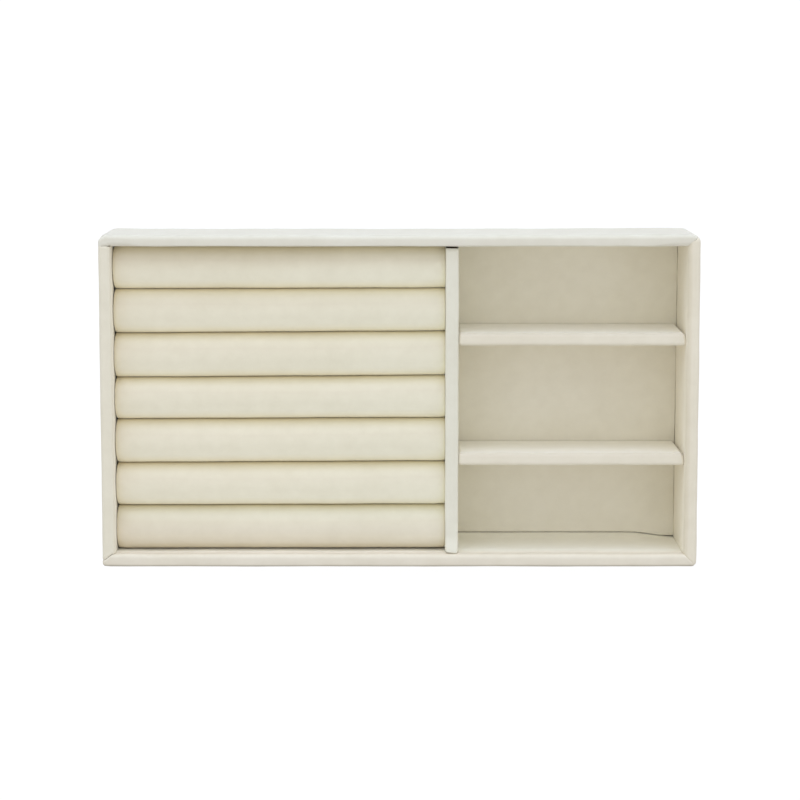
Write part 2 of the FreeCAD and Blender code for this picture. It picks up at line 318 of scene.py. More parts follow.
def plain_fibre(name, dark, light, scale):
    """Board, card or felt: matt and faintly speckled."""
    material, tree, shader = new_material(name)
    specks = add_noise(tree, scale, detail=4, roughness=0.65)
    colour = add_ramp(tree, specks, low=0.3, high=0.7, dark=dark, light=light)
    grain = add_bump(tree, specks, strength=0.3, depth=0.1 * MM)
    tree.links.new(colour, shader.inputs["Base Color"])
    tree.links.new(grain, shader.inputs["Normal"])
    shader.inputs["Roughness"].default_value = 0.9
    shader.inputs["Specular IOR Level"].default_value = 0.2
    return material


def painted_shading_by_height(top, *steps):
    """A tint by height, for painted light and shade. Each step is a depth below the top, in mm, and the
    tint there, deepest first.
    """
    return "Object", "Z", tuple((top - depth * MM, tint) for depth, tint in steps)


# Painted light and shade by the direction that the pile faces, towards the back (Y) or the right (X)
RIGHT_PAINTED_SHADING = ("Normal", "X", (
    (-1.0, (0.98, 0.955, 0.9)),
    (-0.85, (0.93, 0.905, 0.855)),
    (-0.3, (0.95, 0.92, 0.875)),
    (0.0, (1.0, 0.985, 0.965)),
))
DIVIDER_PAINTED_SHADING = ("Normal", "Y", (
    (0.0, (1.0, 0.99, 0.985)),
    (0.3, (0.95, 0.925, 0.92)),
    (0.6, (0.885, 0.855, 0.85)),
    (0.9, (0.86, 0.835, 0.825)),
    (1.0, (1.02, 1.03, 1.08)),
))
ROLL_PAINTED_SHADING = ("Normal", "Y", (
    (-0.9, (1.14, 1.17, 1.2)),
    (-0.42, (1.085, 1.095, 1.08)),
    (0.0, (0.995, 0.985, 0.95)),
    (0.3, (0.925, 0.897, 0.858)),
    (0.65, (0.935, 0.915, 0.87)),
))
FRONT_ROLL_PAINTED_SHADING = ("Normal", "Y", (
    (-0.9, (0.9, 0.85, 0.82)),
    (-0.6, (0.97, 0.95, 0.95)),
    (-0.3, (1.03, 1.015, 1.01)),
    (0.0, (0.985, 0.965, 0.955)),
    (0.3, (0.93, 0.91, 0.875)),
    (0.65, (0.94, 0.95, 0.93)),
))
# Tints by place: painted shade at the rolls' left ends by the wall and a painted cooler light at their
# right ends; and a lighter floor from the middle compartment's to the back one's
ROLL_END_SHADING = ("Object", "X", (
    (roll_left, (0.975, 0.955, 0.955)),
    (roll_left + 10 * MM, (0.99, 0.985, 0.985)),
    (roll_left + 60 * MM, WHITE),
    (roll_right, (1.0, 1.012, 1.02)),
))
FLOOR_ALONG = ("Object", "Y", (
    (24 * MM, WHITE),
    (28 * MM, (1.045, 1.05, 1.055)),
))
# Painted light and shade by height: lighter faces below the rims and divider tops, darker just below the
# front rim, and darker, warmer valleys between the rolls
WALL_HEIGHT_SHADING = painted_shading_by_height(rim_height, (3, (1.11, 1.11, 1.11)), (0.8, WHITE))
BACK_HEIGHT_SHADING = painted_shading_by_height(rim_height, (3, (1.16, 1.15, 1.14)), (0.8, WHITE))
FRONT_HEIGHT_SHADING = painted_shading_by_height(
    rim_height,
    (8, (1.13, 1.16, 1.2)),
    (3.5, (1.01, 0.975, 0.95)),
    (2.4, (0.88, 0.83, 0.785)),
    (1.8, (0.81, 0.76, 0.72)),
    (1.3, (0.82, 0.775, 0.735)),
    (0.9, (0.895, 0.855, 0.82)),
    (0.5, (0.965, 0.94, 0.92)),
    (0.2, (0.98, 0.965, 0.95)),
    (0, (0.985, 0.97, 0.965)),
)
LONG_HEIGHT_SHADING = painted_shading_by_height(divider_top, (2.5, (1.1, 1.1, 1.09)), (0.7, WHITE))
CROSS_HEIGHT_SHADING = painted_shading_by_height(divider_top, (6, (1.1, 1.1, 1.09)), (2, (0.99, 0.975, 0.965)), (0.7, WHITE))
ROLL_VALLEY_SHADE = painted_shading_by_height(roll_crown, (8, (0.9, 0.83, 0.63)), (1.5, WHITE))

# Each part's velvet copy has its own base colour and tints for how light falls on it: painted light and
# shade
wall_velvet = velvet("wall_velvet", (0.86, 0.82, 0.685), [WALL_HEIGHT_SHADING])
front_velvet = velvet("front_velvet", (0.85, 0.81, 0.69), [FRONT_HEIGHT_SHADING], edge=rim_height)
right_velvet = velvet("right_velvet", (0.86, 0.82, 0.695), [WALL_HEIGHT_SHADING, RIGHT_PAINTED_SHADING])
back_velvet = velvet("back_velvet", (0.81, 0.788, 0.688), [BACK_HEIGHT_SHADING])
divider_velvet = velvet("divider_velvet", (0.865, 0.825, 0.695), [CROSS_HEIGHT_SHADING, DIVIDER_PAINTED_SHADING])
long_velvet = velvet("long_velvet", (0.845, 0.83, 0.71), [LONG_HEIGHT_SHADING])
lining_velvet = velvet("lining_velvet", (0.9, 0.863, 0.742), [FLOOR_ALONG])
roll_velvet = velvet("roll_velvet", (0.895, 0.859, 0.718), [ROLL_VALLEY_SHADE, ROLL_PAINTED_SHADING, ROLL_END_SHADING])
front_roll_shaded_velvet = velvet(
    "front_roll_shaded_velvet", (0.86, 0.815, 0.668), [ROLL_VALLEY_SHADE, FRONT_ROLL_PAINTED_SHADING, ROLL_END_SHADING]
)
WALL_VELVETS = {"back": back_velvet, "left": wall_velvet, "front": front_velvet, "right": right_velvet}
greyboard = plain_fibre("greyboard", dark=(0.1, 0.072, 0.045), light=(0.16, 0.12, 0.08), scale=700)
card = plain_fibre("card", dark=(0.42, 0.37, 0.29), light=(0.5, 0.45, 0.36), scale=500)
felt = plain_fibre("felt", dark=(0.56, 0.52, 0.43), light=(0.68, 0.64, 0.54), scale=1400)

# Walls

Row = namedtuple("Row", "part inset height inward up")
Rim = namedtuple("Rim", "inner outer")
# A corner's seam: half its gap, how far the velvet tucks in and bulges beside it, in mm; how much of the
# way from the mitre it is turned into the side wall; the inset from which it is open, or up to which if
# it is below zero, in mm; and the radius of the corner, in mm
Seam = namedtuple("Seam", "gap tuck lip turn opens corner")

# Where the velvet starts inside the walls, above their bottom
FOOT_RISE = 3 * MM
# Seams: how far the gap swings, how fast from row to row and how it differs by seam; how softly a seam
# opens, in mm; and the shape of the tuck and the lip
GAP_SWING = 0.5
GAP_PACE = 0.9
GAP_PHASE = 40
OPENING_FADE = 0.4
TUCK_WIDTH = 0.3 * MM
TUCK_POWER = 1.5
LIP_PLACE = 0.9 * MM
LIP_WIDTH = 0.45 * MM
# Faces: small waves, the same for a few rows, and a longer bow, both fading out at the corners
FACE_WAVER = 0.05 * MM
FACE_WAVE = 34 * MM
FACE_ROWS = 3
WALL_BOW = 0.07 * MM
WALL_BOW_WAVE = 75 * MM
CALM_END = 4 * MM
# From the corners, where a wall's own rim radii start and are reached
OWN_RIM_START = 4 * MM
OWN_RIM_FULL = 16 * MM
# The front wall's foot in the compartment: how far it runs out, where that ends at the right, how much
# left of the compartment it starts, and how high it curves up
FOOT_RUN = 2.1 * MM
FOOT_RUN_FADE = 96 * MM
FOOT_RUN_END = 118 * MM
FOOT_RUN_START = 5 * MM
FOOT_CURVE = 2.2 * MM
# The outer faces against the CAD's: how far out they stand, in mm, and how far in at the back, with the
# stretches along the back, as shares of the length, where that starts and ends
RIGHT_OUT_FRONT, RIGHT_OUT_BACK = 0.9, 0.5
LEFT_OUT_FRONT, LEFT_OUT_BACK = 0.5, 0.15
FRONT_OUT = 0.9
BACK_IN = 0.28
BACK_IN_START = (0, 0.06)
BACK_IN_END = (0.58, 0.94)

INNER_LEAN = 0.2 * MM
BACK_LEFT = Seam(gap=0.1, tuck=0.24, lip=0.05, turn=0.85, opens=1.3, corner=3.2)
BACK_RIGHT = Seam(gap=0.03, tuck=0.16, lip=0.03, turn=0, opens=-2.6, corner=3.4)
FRONT_LEFT = Seam(gap=0.08, tuck=0.2, lip=0.08, turn=0.5, opens=-4, corner=1.5)
FRONT_RIGHT = Seam(gap=0, tuck=0.09, lip=0.03, turn=0, opens=0, corner=2.2)
BACK_RIM = Rim(inner=0.6, outer=1.8)
LEFT_RIM = Rim(inner=1.2, outer=1.4)
FRONT_RIM = Rim(inner=2.0, outer=1.2)
RIGHT_RIM = Rim(inner=2.1, outer=1.4)


def wall_profile(wall, lean, rim, bottom, under):
    """Across a wall, from the inner foot over the rim to the turned-under edge.

    Gives each row's part of the wall, distance in from the outer face, height and outward direction.
    The inner face leans outwards by lean at its top.
    """
    rows = []
    inner_foot = bottom + FOOT_RISE
    inner_shoulder = rim - RIM_INNER_RADIUS
    outer_shoulder = rim - RIM_OUTER_RADIUS
    count = round((inner_shoulder - inner_foot) / WALL_STEP)
    for share in np.linspace(0, 1, count, endpoint=False):
        height = inner_foot + share * (inner_shoulder - inner_foot)
        rows.append(Row("inner", wall - share * lean, height, 1, 0))
    for turn in np.linspace(0, math.pi / 2, ARC_STEPS):
        across, up = math.cos(turn), math.sin(turn)
        inset = wall - lean - RIM_INNER_RADIUS * (1 - across)
        rows.append(Row("inner rim", inset, inner_shoulder + RIM_INNER_RADIUS * up, across, up))
    for turn in np.linspace(math.pi / 2, math.pi, ARC_STEPS):
        across, up = math.cos(turn), math.sin(turn)
        inset = RIM_OUTER_RADIUS * (1 + across)
        rows.append(Row("outer rim", inset, outer_shoulder + RIM_OUTER_RADIUS * up, across, up))
    fold = bottom + FOLD_RADIUS
    for height in np.linspace(outer_shoulder, fold, count, endpoint=False)[1:]:
        rows.append(Row("outer", 0, height, -1, 0))
    for turn in np.linspace(math.pi, 1.5 * math.pi, ARC_STEPS):
        across, up = math.cos(turn), math.sin(turn)
        rows.append(Row("outer", FOLD_RADIUS * (1 + across), fold + FOLD_RADIUS * up, across, up))
    for inset in np.linspace(FOLD_RADIUS, under, UNDER_STEPS)[1:]:
        rows.append(Row("under", inset, bottom, 0, -1))
    return rows


def along_wall(inset, reach, half_width, corners, starts, spread):
    """Points of one profile row: straight, and round the corner at each end.

    A row starts and ends at the mitre, or past it where its start is below zero.
    """
    start_radius, end_radius = (max(corner - inset, TIGHT_RADIUS) for corner in corners)
    start_eighth, end_eighth = start_radius * math.pi / 4, end_radius * math.pi / 4
    start_straight, end_straight = reach - inset - start_radius, reach - inset - end_radius
    total = start_eighth + start_straight + end_straight + end_eighth
    first = starts[0] + SEAM_STEPS
    last = total - starts[1] - SEAM_STEPS[::-1]
    inner = first[-1] + (last[0] - first[-1]) * spread
    run = np.concatenate([first, inner, last])
    start_turn = np.clip(start_eighth - run, 0, 2 * start_eighth) / start_radius
    end_turn = np.clip(run - (total - end_eighth), 0, 2 * end_eighth) / end_radius
    lean = end_turn - start_turn
    radius = np.where(run < total / 2, start_radius, end_radius)
    beyond = np.clip(-start_eighth - run, 0, None) + np.clip(run - total - end_eighth, 0, None)
    middle = np.clip(run - start_eighth - start_straight, -start_straight, end_straight)
    across = half_width - inset - radius + radius * np.cos(lean) - beyond
    return middle + radius * np.sin(lean), across, np.sin(lean), np.cos(lean), run


def seam_opening(seam, inset):
    """How much of a seam's gap and tuck is there at a distance in from the outer face."""
    if not seam.opens:
        return 1
    place = abs(seam.opens)
    opening = float(ease(inset, (place - OPENING_FADE) * MM, (place + OPENING_FADE) * MM))
    return opening if seam.opens > 0 else 1 - opening


def seam_starts(seams, opening, overlap, inset, row):
    """How far from the mitre a row of velvet starts and ends, below zero where it runs past it."""
    starts = []
    for seam, share in zip(seams, opening):
        uneven_gap = 1 + GAP_SWING * math.sin(row * GAP_PACE + seam.tuck * GAP_PHASE)
        past_mitre = overlap * seam.turn * max(wall_thickness - inset, 0)
        starts.append(seam.gap * MM * share * uneven_gap - past_mitre)
    return starts


def seam_relief(distances, seams, opening):
    """How far the velvet bulges beside the seams, below zero where it tucks in at them."""
    relief = np.zeros_like(distances[0])
    for away, seam, share in zip(distances, seams, opening):
        relief -= share * seam.tuck * MM * np.exp(-((away / TUCK_WIDTH) ** TUCK_POWER))
        relief += share * seam.lip * MM * bell(away - LIP_PLACE, LIP_WIDTH)
    return relief


def strip_faces(rows, columns):
    """The faces of a sheet whose points are counted along its rows."""
    faces = []
    for row in range(rows - 1):
        for column in range(columns - 1):
            corner = row * columns + column
            faces.append((corner, corner + 1, corner + columns + 1, corner + columns))
    return faces


def make_wall(side, turn, seams, radii, reach, half_width, overlap, lean=0, flare=None):
    """The velvet strip over one wall, with a seam at each end.

    It is drawn as the back wall, then turned to its side. At a turned seam the strip runs past the mitre
    if overlap is 1, and stops short of it if it is -1. Away from the corners its rim has radii of its own,
    in mm. The inner face leans outwards and its foot flares out, where these are given.
    """
    low, high = node_box(f"{side}_wall_wrap")
    profile = wall_profile(wall_thickness, lean, high[2], low[2], TURN_UNDER)
    spread = np.linspace(0, 1, round(2 * reach / WALL_STEP))[1:-1]
    corners = [seam.corner * MM for seam in seams]
    points = []
    for row, (part, inset, height, inward, up) in enumerate(profile):
        opening = [seam_opening(seam, inset) for seam in seams]
        starts = seam_starts(seams, opening, overlap, inset, row)
        x, y, out_x, out_y, run = along_wall(inset, reach, half_width, corners, starts, spread)
        from_start, from_end = run - run[0], run[-1] - run
        from_corner = np.minimum(from_start, from_end)
        uneven = FACE_WAVER * wander(x, FACE_WAVE, f"{side} face {row // FACE_ROWS}")
        uneven += WALL_BOW * wander(x, WALL_BOW_WAVE, f"{side} bow")
        lift = seam_relief((from_start, from_end), seams, opening)
        lift += uneven * (1 - bell(from_corner, CALM_END))
        x = x - inward * out_x * lift
        y = y - inward * out_y * lift
        z = height + up * lift
        own = ease(from_corner, OWN_RIM_START, OWN_RIM_FULL)
        if part == "inner rim":
            y = y + own * (radii.inner * MM - RIM_INNER_RADIUS) * (1 - inward)
            z = z - own * (radii.inner * MM - RIM_INNER_RADIUS) * (1 - up)
        if part == "outer rim":
            y = y - own * (radii.outer * MM - RIM_OUTER_RADIUS) * (1 + inward)
            z = z - own * (radii.outer * MM - RIM_OUTER_RADIUS) * (1 - up)
        if flare and part == "inner":
            y = y - flare(x, height)
        points.append(np.stack([x, y, z], axis=1))
    rows, columns = len(points), len(points[0])
    points = np.concatenate(points)
    cosine, sine = round(math.cos(turn)), round(math.sin(turn))
    points[:, :2] = points[:, :2] @ np.array([[cosine, sine], [-sine, cosine]])
    outside = np.repeat([row.part in ("outer rim", "outer") for row in profile], columns)
    points[outside] = fit_outside(points[outside])
    faces = strip_faces(rows, columns)
    nodes = [f"{side}_wall_wrap"]
    piece = make_piece(f"{side}_wall_velvet", points, faces, WALL_VELVETS[side], nodes)
    make_cloth_thick(piece)


def front_reach(x):
    """How far the front wall's velvet runs out over the base, in front of the floor pad."""
    started = ease(x, compartment_left - FOOT_RUN_START, compartment_left)
    return FOOT_RUN * (1 - ease(x, FOOT_RUN_FADE, FOOT_RUN_END)) * started


def front_flare(x, height):
    """The soft curve of the front wall's foot. The strip is turned round later, so x counts to the left."""
    return front_reach(-x) * math.exp(-max(height - floor_high[2], 0) / FOOT_CURVE)


def fit_outside(points):
    """Moves points of the outer faces to the photograph's: a little out, and in at the back."""
    to_right = (points[:, 0] / half_length + 1) / 2
    to_back = (points[:, 1] / half_depth + 1) / 2
    right_out = between(RIGHT_OUT_FRONT, RIGHT_OUT_BACK, to_back)
    left_out = between(LEFT_OUT_FRONT, LEFT_OUT_BACK, to_back)
    back_in = BACK_IN * ease(to_right, *BACK_IN_START) * (1 - ease(to_right, *BACK_IN_END))
    move_x = to_right * right_out - (1 - to_right) * left_out
    move_y = -to_back * back_in - (1 - to_back) * FRONT_OUT
    return points + MM * np.stack([move_x, move_y, np.zeros_like(move_x)], axis=1)


LONG_WALL = {"reach": half_length, "half_width": half_depth, "overlap": 1}
SHORT_WALL = {"reach": half_depth, "half_width": half_length, "overlap": -1}
make_wall("back", 0, (BACK_LEFT, BACK_RIGHT), BACK_RIM, **LONG_WALL)
make_wall("left", math.pi / 2, (FRONT_LEFT, BACK_LEFT), LEFT_RIM, **SHORT_WALL)
make_wall(
    "front", math.pi, (FRONT_RIGHT, FRONT_LEFT), FRONT_RIM, **LONG_WALL, lean=INNER_LEAN, flare=front_flare
)
make_wall("right", -math.pi / 2, (BACK_RIGHT, FRONT_RIGHT), RIGHT_RIM, **SHORT_WALL, lean=INNER_LEAN)

# Rounded caps: dividers, floor pad and felt

X_AXIS, Y_AXIS = 0, 1
# A cut end: how near to the cut a point counts as on it, and its ragged edge
CUT_TOLERANCE = 0.001 * MM
RAGGED_EDGE = 0.15 * MM
RAGGED_WAVE = 3 * MM
# Dividers: small waves of the upper part, the sides and the top
DIVIDER_BOW = 0.06 * MM
DIVIDER_BOW_WAVE = 60 * MM
SIDE_WAVER = 0.05 * MM
SIDE_WAVE = 26 * MM
TOP_WAVER = 0.08 * MM
TOP_WAVE = 40 * MM
# A slanted end: its length, the depth of the top that takes part, and how much it rises for its slant
SLANT_LENGTH = 6 * MM
SLANT_DEPTH = 0.6 * MM
SLANT_RISE = 1.7
CORNER_LENGTH = 3 * MM
CROSS_LEANS = {"cross_divider_back": -0.22 * MM, "cross_divider_front": 0.18 * MM}
# Floor pad: the lift of its front right corner and how far that reaches along the two sides
PAD_LIFT = 1.3 * MM
PAD_LIFT_LENGTH = 11 * MM
PAD_LIFT_DEPTH = 9 * MM
# A low ridge along its front edge
PAD_RIDGE = 0.3 * MM
PAD_RIDGE_PLACE = 1.4 * MM
PAD_RIDGE_WIDTH = 1.3 * MM
# Its front edge: how far it lies on the wall's foot, its gap at the right and where that opens, and the
# depth over which it is drawn in
PAD_ON_FOOT = 0.4 * MM
PAD_GAP = 0.35 * MM
PAD_GAP_START = 98 * MM
PAD_GAP_FULL = 110 * MM
PAD_DRAW_DEPTH = 10 * MM
# Its top's waves, which run a little aslant, and its right edge, which is pressed out unevenly
PAD_WAVER = 0.05 * MM
PAD_WAVE = 45 * MM
PAD_WAVE_SLANT = 0.6
PAD_RIGHT_OUT = 0.3 * MM
PAD_RIGHT_DEPTH = 2 * MM
PAD_RIGHT_WAVER = 0.06 * MM
PAD_RIGHT_WAVE = 40 * MM


def rounded_steps(low, high, radius, step, round_low=True):
    """Coordinates along one side of a rounded box, closer together where it bends."""
    bends = radius * (1 - np.tan(np.linspace(math.pi / 4, 0, ARC_STEPS)))
    first = low + bends if round_low else np.array([low])
    last = high - bends[::-1]
    count = max(2, round((last[0] - first[-1]) / step))
    return np.concatenate([first[:-1], np.linspace(first[-1], last[0], count + 1), last[1:]])


def cap_lattice(xs, ys, zs, closed):
    """The skin of a box on a lattice: four sides and the top, and the bottom if it is closed."""
    index = {}
    points = []
    faces = []

    def number_of(corner):
        if corner not in index:
            i, j, k = corner
            index[corner] = len(points)
            points.append((xs[i], ys[j], zs[k]))
        return index[corner]

    def add_face(*corners):
        faces.append(tuple(number_of(corner) for corner in corners))

    right, back, top = len(xs) - 1, len(ys) - 1, len(zs) - 1
    for i in range(right):
        for j in range(back):
            add_face((i, j, top), (i + 1, j, top), (i + 1, j + 1, top), (i, j + 1, top))
            if closed:
                add_face((i, j, 0), (i, j + 1, 0), (i + 1, j + 1, 0), (i + 1, j, 0))
    for i in range(right):
        for k in range(top):
            add_face((i, 0, k), (i + 1, 0, k), (i + 1, 0, k + 1), (i, 0, k + 1))
            add_face((i, back, k), (i, back, k + 1), (i + 1, back, k + 1), (i + 1, back, k))
    for j in range(back):
        for k in range(top):
            add_face((0, j, k), (0, j, k + 1), (0, j + 1, k + 1), (0, j + 1, k))
            add_face((right, j, k), (right, j + 1, k), (right, j + 1, k + 1), (right, j, k + 1))
    return np.array(points), faces


def rounded_cap(low, high, radii, step, closed=False):
    """A box whose edges are rounded by a radius along each axis, open below unless it is closed."""
    radii = np.array(radii)
    xs = rounded_steps(low[0], high[0], radii[0], step)
    ys = rounded_steps(low[1], high[1], radii[1], step)
    zs = rounded_steps(low[2], high[2], radii[2], step, round_low=closed)
    points, faces = cap_lattice(xs, ys, zs, closed)
    core_low = low + radii
    core_high = high - radii
    if not closed:
        core_low[2] = low[2]
    core = np.clip(points, core_low, core_high)
    away = (points - core) / radii
    length = np.linalg.norm(away, axis=1, keepdims=True)
    return core + radii * away / np.maximum(length, TINY), faces


def open_end(points, faces, along, end, name):
    """Cuts a cap off at one end and leaves a ragged edge there."""
    limit = end + CUT_TOLERANCE
    kept = [face for face in faces if max(points[number, along] for number in face) < limit]
    used = sorted({number for face in kept for number in face})
    place = {number: index for index, number in enumerate(used)}
    points = points[used]
    edge = points[:, along] > end - CUT_TOLERANCE
    around = points[edge, 1 - along] + points[edge, 2]
    points[edge, along] += RAGGED_EDGE * wander(around, RAGGED_WAVE, f"{name} edge")
    return points, [tuple(place[number] for number in face) for face in kept]


def make_divider(
    name, long_axis, reach, material, radius, lean=0, widen=0, slant=0, corner=0, back_open=False
):
    """A velvet-covered divider with soft edges that waver a little.

    Its ends are pressed out by the two lengths of reach, towards what they stand against. Where these are
    given, its top leans across, its high side is wider, its low end is raised and slanted, the back corner
    of its high end is drawn in, and its back end is open.
    """
    low, high = node_box(f"{name}_wrap")
    across = 1 - long_axis
    low[long_axis] -= reach[0]
    high[long_axis] += reach[1]
    high[across] += widen
    radii = [radius] * 3
    size = high - low
    if back_open:
        points, faces = rounded_cap(low, high + np.eye(3)[long_axis] * radius, radii, DIVIDER_STEP)
        points, faces = open_end(points, faces, long_axis, high[long_axis], name)
    else:
        points, faces = rounded_cap(low, high, radii, DIVIDER_STEP)
    along = points[:, long_axis]
    middle = (low[across] + high[across]) / 2
    side = np.sign(points[:, across] - middle)
    upper = ease(points[:, 2], low[2], high[2])
    points[:, across] += upper * (lean + DIVIDER_BOW * wander(along, DIVIDER_BOW_WAVE, f"{name} bow"))
    points[:, across] += side * SIDE_WAVER * wander(along, SIDE_WAVE, f"{name} sides")
    points[:, 2] += upper * TOP_WAVER * wander(along, TOP_WAVE, f"{name} top")
    near_low = 1 - ease(along, low[long_axis], low[long_axis] + SLANT_LENGTH)
    top_only = ease(points[:, 2], high[2] - SLANT_DEPTH, high[2])
    to_high_side = 1 / 2 + (points[:, across] - middle) / size[across]
    points[:, long_axis] -= near_low * slant * to_high_side * top_only
    points[:, 2] += near_low * SLANT_RISE * slant * top_only
    near_high = ease(along, high[long_axis] - CORNER_LENGTH, high[long_axis])
    to_back = np.clip((points[:, across] - low[across]) / size[across], 0, 1)
    points[:, long_axis] -= near_high * corner * to_back ** 2
    piece = make_piece(f"{name}_velvet", points, faces, material, [f"{name}_wrap"])
    make_cloth_thick(piece)


make_divider(
    "long_divider", Y_AXIS, reach=(0.75 * MM, -0.3 * MM), material=long_velvet, radius=LONG_DIVIDER_RADIUS,
    widen=0.22 * MM, slant=0.7 * MM, back_open=True,
)
for cross_name, cross_lean in CROSS_LEANS.items():
    make_divider(
        cross_name, X_AXIS, reach=(0, 0.75 * MM), material=divider_velvet, radius=CROSS_DIVIDER_RADIUS,
        lean=cross_lean, corner=1.1 * MM,
    )


def make_floor_pad():
    """The covered card in the compartments, with its front right corner a little lifted."""
    points, faces = rounded_cap(floor_low, floor_high, [PAD_RADIUS] * 3, PAD_STEP)
    from_right = floor_high[0] - points[:, 0]
    from_front = points[:, 1] - floor_low[1]
    top = ease(points[:, 2], floor_low[2], floor_high[2])
    points[:, 2] += PAD_LIFT * bell(from_right, PAD_LIFT_LENGTH) * bell(from_front, PAD_LIFT_DEPTH)
    points[:, 2] += top * PAD_RIDGE * bell(from_front - PAD_RIDGE_PLACE, PAD_RIDGE_WIDTH)
    behind_foot = front_reach(points[:, 0]) - PAD_ON_FOOT
    gap = PAD_GAP * ease(points[:, 0], PAD_GAP_START, PAD_GAP_FULL)
    points[:, 1] += np.maximum(behind_foot, gap) * (1 - ease(from_front, 0, PAD_DRAW_DEPTH))
    aslant = points[:, 0] + PAD_WAVE_SLANT * points[:, 1]
    points[:, 2] += top * PAD_WAVER * wander(aslant, PAD_WAVE, "pad")
    right_side = ease(points[:, 0], floor_high[0] - PAD_RIGHT_DEPTH, floor_high[0])
    right_out = PAD_RIGHT_OUT + PAD_RIGHT_WAVER * wander(points[:, 1], PAD_RIGHT_WAVE, "pad edge")
    points[:, 0] += right_side * right_out
    piece = make_piece("floor_velvet", points, faces, lining_velvet, ["floor_wrap"])
    make_cloth_thick(piece)


def make_felt():
    """The thin felt under the base, with soft edges."""
    low, high = node_box("base_felt")
    points, faces = rounded_cap(low, high, [FELT_RADIUS] * 3, FELT_STEP, closed=True)
    piece = make_piece("felt_sheet", points, faces, felt, ["base_felt"])


make_floor_pad()
make_felt()

# Ring rolls

# How far a roll's end reaches past the CAD's, the length and depth of its rounding, and its draw-in at
# the sides
RollEnd = namedtuple("RollEnd", "press length depth draw")
LEFT_END = RollEnd(press=0.08 * MM, length=6 * MM, depth=1.5 * MM, draw=0.5 * MM)
RIGHT_END = RollEnd(press=0.2 * MM, length=5 * MM, depth=1.1 * MM, draw=0.1 * MM)
# The flat face of an end and its rounding: how far the face is drawn in, how much of that is at the sides,
# and their steps
END_FACE_INSET = 3 * MM
END_SIDE_SHARE = 0.2
END_FACE_STEPS = 4
END_BEND_STEPS = 8
# How the draw-in at the sides fades along the roll and grows from its middle
END_DRAW_LENGTH = 4 * MM
END_DRAW_POWER = 3
# A roll's section, a little inside the CAD's before it swells
CROWN_MARGIN = 0.25 * MM
SIDE_MARGIN = 0.05 * MM
ROLL_CROWN_RADIUS = 10.5 * MM
ROLL_SHOULDER_RADIUS = 8 * MM
CROWN_STEPS = 8
BOTTOM_STEPS = 8
# Below the crown: where the upper part starts, and how much lower the cover is held fast
UPPER_DEPTH = 5 * MM
HELD_DEPTH = 3 * MM
# The swelling: enlarged, since cloth behaves better at that size, and kept within a cap
SIMULATION_SCALE = 10
SWELL_FRAMES = 20
SWELL_CAP = 0.9 * MM
SWELL_SETTINGS = {
    "quality": 6,
    "mass": 0.2,
    "tension_stiffness": 12,
    "compression_stiffness": 12,
    "shear_stiffness": 6,
    "bending_stiffness": 0.6,
    "use_pressure": True,
    "uniform_pressure_force": 5,
}
# Neighbours: how much wider a roll is pressed against them and what each side leaves free, and the gap
# between the last roll and the front wall, with what that grows by to the right
ROLL_SQUEEZE = 1.05
ROLL_CLEARANCE = 0.02 * MM
FRONT_GAP = 0.15 * MM
FRONT_GAP_GROWTH = 0.3 * MM
# Shift of each valley's left and right end towards the back, in mm
VALLEY_ENDS = ((0, 0.35), (-0.15, 0.7), (-0.45, 0.45), (0.3, 0.9), (0.1, 0.8), (0.3, 0.7))
VALLEY_WAVER = 0.06 * MM
VALLEY_WAVE = 60 * MM
CROWN_WAVER = 0.12 * MM
CROWN_WAVE = 70 * MM


def roll_section(half_width, foot, crown, inset, side_inset):
    """Upright sides, round shoulders and a softer crown, closed below, drawn in by the two insets."""
    width = half_width - side_inset
    spread = half_width - ROLL_SHOULDER_RADIUS
    step_out = ROLL_CROWN_RADIUS - ROLL_SHOULDER_RADIUS
    lean = math.asin(spread / step_out)
    crown_centre = crown - ROLL_CROWN_RADIUS
    shoulder = crown_centre + step_out * math.cos(lean)
    crown_radius = ROLL_CROWN_RADIUS - inset
    side = np.linspace(foot + inset, shoulder, round((shoulder - foot) / ROLL_STEP), endpoint=False)
    bend = np.linspace(math.pi / 2, lean, ARC_STEPS)
    arch = np.linspace(lean, -lean, CROWN_STEPS)[1:-1]
    bottom = np.linspace(-width, width, BOTTOM_STEPS)[1:-1]
    side_y = np.full(len(side), width)
    bend_y = spread + (ROLL_SHOULDER_RADIUS - side_inset) * np.sin(bend)
    bend_z = shoulder + (ROLL_SHOULDER_RADIUS - inset) * np.cos(bend)
    arch_y = crown_radius * np.sin(arch)
    arch_z = crown_centre + crown_radius * np.cos(arch)
    bottom_z = np.full(len(bottom), foot + inset)
    y = np.concatenate([side_y, bend_y, arch_y, -bend_y[::-1], -side_y, bottom])
    z = np.concatenate([side, bend_z, arch_z, bend_z[::-1], side[::-1], bottom_z])
    return np.stack([y, z], axis=1)


def roll_end(end):
    """Steps of a rounded roll end: how far each lies from the end face, and how far it is drawn in."""
    steps = [(0, inset) for inset in np.linspace(END_FACE_INSET, end.depth, END_FACE_STEPS)]
    for bend in np.linspace(math.pi / 2, 0, END_BEND_STEPS)[1:]:
        steps.append((end.length * (1 - math.sin(bend)), end.depth * (1 - math.cos(bend))))
    return steps


